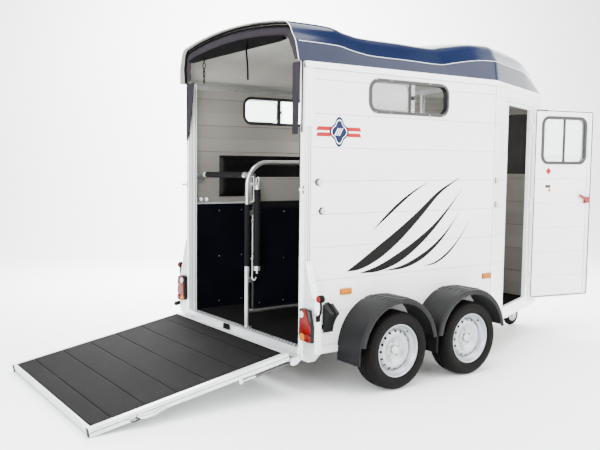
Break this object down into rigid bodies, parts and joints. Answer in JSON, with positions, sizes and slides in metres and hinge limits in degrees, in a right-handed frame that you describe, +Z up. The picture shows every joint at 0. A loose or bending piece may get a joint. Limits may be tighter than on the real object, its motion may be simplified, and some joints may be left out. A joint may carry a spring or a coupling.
{
  "type": "horse trailer",
  "caption": "Twin-axle trailer for two horses with a planked body, moulded roof, rear loading ramp, side tack door, swinging partition and jockey wheel.",
  "frame": {"origin": "middle of the whole trailer with its ramp down, on the ground under it", "axes": "+X forward towards the coupling, +Y to the left side, +Z up"},
  "size_m": [5.9762, 2.26, 2.713],
  "materials": {
    "galvanised_steel": "hot-dip galvanised",
    "anodised_aluminium": "satin anodised",
    "white_plank": "white coated aluminium planks",
    "navy_gelcoat": "glossy gel coat on glass-fibre moulding",
    "plywood": "film-faced",
    "floor_rubber": "fine-ribbed sheet",
    "foam_rubber": "closed-cell foam sleeve",
    "soft_rubber": "bellows",
    "tyre_rubber": "road tread",
    "black_panel": "film-faced lining board",
    "black_plastic": "moulded, fine grain",
    "lamp_plastic": "moulded lens",
    "pad_vinyl": "padded vinyl",
    "tarpaulin_cloth": "coated polyester cloth",
    "clear_glazing": "acrylic pane",
    "tinted_glazing": "tinted acrylic pane",
    "silver_paint": "silver wheel enamel",
    "bright_steel": "hard chromed rod",
    "black_enamel": "black enamel"
  },
  "bodies": {
    "trailer": {"axles": "galvanised_steel", "breast_bars": "foam_rubber", "chassis_beams": "galvanised_steel", "coupling_head": "galvanised_steel", "cross_members": "galvanised_steel", "door_frame": "anodised_aluminium", "floor_board": "plywood", "floor_mat": "floor_rubber", "front_post": "galvanised_steel", "jockey_tube": "galvanised_steel", "kick_panels": "black_panel", "marker_lamps": "lamp_plastic", "mudguards": "black_plastic", "nose_wall_front": "white_plank", "nose_wall_left": "white_plank", "nose_wall_right": "white_plank", "nose_window": "tinted_glazing", "overrun_gaiter": "soft_rubber", "overrun_housing": "galvanised_steel", "ramp_hinge_arms": "galvanised_steel", "rear_frame": "galvanised_steel", "roof_shell": "navy_gelcoat", "side_pads": "pad_vinyl", "side_wall_left": "white_plank", "side_wall_right": "white_plank", "side_window_frames": "black_plastic", "side_window_glass": "clear_glazing", "sill_rail": "anodised_aluminium", "tail_lamps": "lamp_plastic", "tarpaulin": "tarpaulin_cloth", "top_rail": "anodised_aluminium", "wall_fittings": "galvanised_steel", "wheel_chocks": "black_plastic"},
    "jockey_fork": {"jockey_fork": "galvanised_steel"},
    "jockey_wheel": {"jockey_tyre": "tyre_rubber", "jockey_hub": "galvanised_steel"},
    "ramp": {"ramp_panel": "anodised_aluminium", "ramp_frame": "anodised_aluminium", "ramp_rubber": "floor_rubber"},
    "strut_tubes": {"strut_tubes": "black_enamel"},
    "strut_rods": {"strut_rods": "bright_steel"},
    "tack_door": {"tack_door_leaf": "white_plank", "tack_door_window_frame": "black_plastic", "tack_door_glass": "clear_glazing", "tack_door_latch": "lamp_plastic"},
    "partition": {"partition_frame": "galvanised_steel", "partition_panel": "black_panel"},
    "rear_bar_left": {"rear_bar_left": "foam_rubber"},
    "rear_bar_right": {"rear_bar_right": "foam_rubber"},
    "wheel_rear_right": {"tyre_rear_right": "tyre_rubber", "rim_rear_right": "silver_paint"},
    "wheel_rear_left": {"tyre_rear_left": "tyre_rubber", "rim_rear_left": "silver_paint"},
    "wheel_front_right": {"tyre_front_right": "tyre_rubber", "rim_front_right": "silver_paint"},
    "wheel_front_left": {"tyre_front_left": "tyre_rubber", "rim_front_left": "silver_paint"}
  },
  "joints": [
    {"name": "wheel_rear_right_spin", "type": "hinge", "parent": "trailer", "child": "wheel_rear_right", "pos_m": [-0.71393, -1.0185, 0.29], "axis": [0, 1, 0], "continuous": true},
    {"name": "wheel_rear_left_spin", "type": "hinge", "parent": "trailer", "child": "wheel_rear_left", "pos_m": [-0.71393, 1.0185, 0.29], "axis": [0, 1, 0], "continuous": true},
    {"name": "wheel_front_right_spin", "type": "hinge", "parent": "trailer", "child": "wheel_front_right", "pos_m": [0.05607, -1.0185, 0.29], "axis": [0, 1, 0], "continuous": true},
    {"name": "wheel_front_left_spin", "type": "hinge", "parent": "trailer", "child": "wheel_front_left", "pos_m": [0.05607, 1.0185, 0.29], "axis": [0, 1, 0], "continuous": true},
    {"name": "jockey_swivel", "type": "hinge", "parent": "trailer", "child": "jockey_fork", "pos_m": [1.97307, -0.06, 0.3], "axis": [0, 0, 1], "continuous": true},
    {"name": "jockey_spin", "type": "hinge", "parent": "jockey_fork", "child": "jockey_wheel", "pos_m": [1.90807, -0.06, 0.105], "axis": [0, 1, 0], "continuous": true},
    {"name": "ramp_hinge", "type": "hinge", "parent": "trailer", "child": "ramp", "pos_m": [-1.48393, 0, 0.262], "axis": [0, 1, 0], "range_deg": [0, 100.36]},
    {"name": "strut_turn", "type": "hinge", "parent": "trailer", "child": "strut_tubes", "pos_m": [-1.49193, 0, 0.245], "axis": [0, 1, 0], "range_deg": [-0.5, 100.46]},
    {"name": "strut_stroke", "type": "slide", "parent": "strut_tubes", "child": "strut_rods", "axis": [-0.9842, 0, -0.1768], "range_m": [-0.001, 0.03078]},
    {"name": "tack_door_hinge", "type": "hinge", "parent": "trailer", "child": "tack_door", "pos_m": [1.56143, -0.50525, 1.281], "axis": [0, 0, 1], "range_deg": [-147.7, 12]},
    {"name": "partition_swing", "type": "hinge", "parent": "trailer", "child": "partition", "pos_m": [0.53807, 0, 1], "axis": [0, 0, 1], "range_deg": [0, 18]},
    {"name": "rear_bar_left_hinge", "type": "hinge", "parent": "partition", "child": "rear_bar_left", "pos_m": [-1.30439, -0.00945, 1.556], "axis": [-0.9996, -0.0279, 0], "range_deg": [0, 90]},
    {"name": "rear_bar_right_hinge", "type": "hinge", "parent": "partition", "child": "rear_bar_right", "pos_m": [-1.30154, -0.11141, 1.49], "axis": [0.9996, 0.0279, 0], "range_deg": [-90, 0]}
  ],
  "couplings": [
    {"joint": "strut_turn", "follows": "ramp_hinge", "ratio": 0.996},
    {"joint": "strut_stroke", "follows": "ramp_hinge", "m_per_rad": 0.017}
  ]
}
